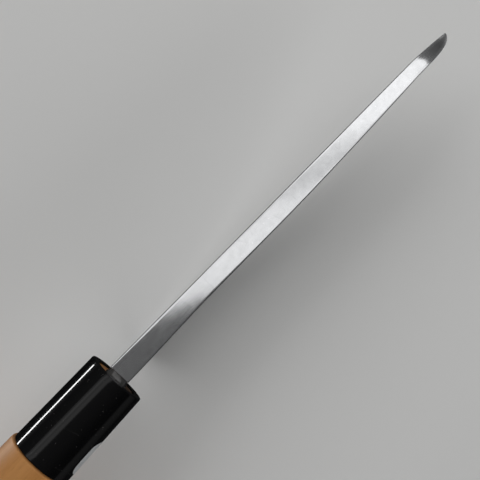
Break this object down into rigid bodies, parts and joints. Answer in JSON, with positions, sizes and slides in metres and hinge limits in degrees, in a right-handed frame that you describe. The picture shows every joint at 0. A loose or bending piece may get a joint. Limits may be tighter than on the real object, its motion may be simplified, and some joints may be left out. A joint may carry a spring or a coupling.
{
  "type": "boning knife",
  "caption": "Right-handed single-bevel boning knife with a straight thick spine, a triangular blade, a black oval ferrule and a wooden handle.",
  "frame": {"origin": "middle of the butt's flat face, at the back end of the handle", "axes": "+X from the butt to the point, +Z from the cutting edge to the spine, +Y to the knife's left, which is its flat side"},
  "size_m": [0.2835, 0.0246, 0.0483],
  "materials": {
    "blade_iron": "satin, ground along the blade",
    "edge_steel": "fine ground, brighter than the body",
    "black_collar": "polished black, as buffalo horn or its plastic copy",
    "pale_wood": "plain, sanded, faint straight grain",
    "bedding_resin": "hardened resin",
    "seal_resin": "glossy dark resin bead",
    "grey_panel": "plain light grey panel"
  },
  "bodies": {
    "root": {"blade_body": "blade_iron", "edge_steel": "edge_steel", "ferrule": "black_collar", "handle_grip": "pale_wood", "tang_bedding": "bedding_resin", "mouth_seal": "seal_resin", "ferrule_mark": "grey_panel"}
  },
  "joints": []
}
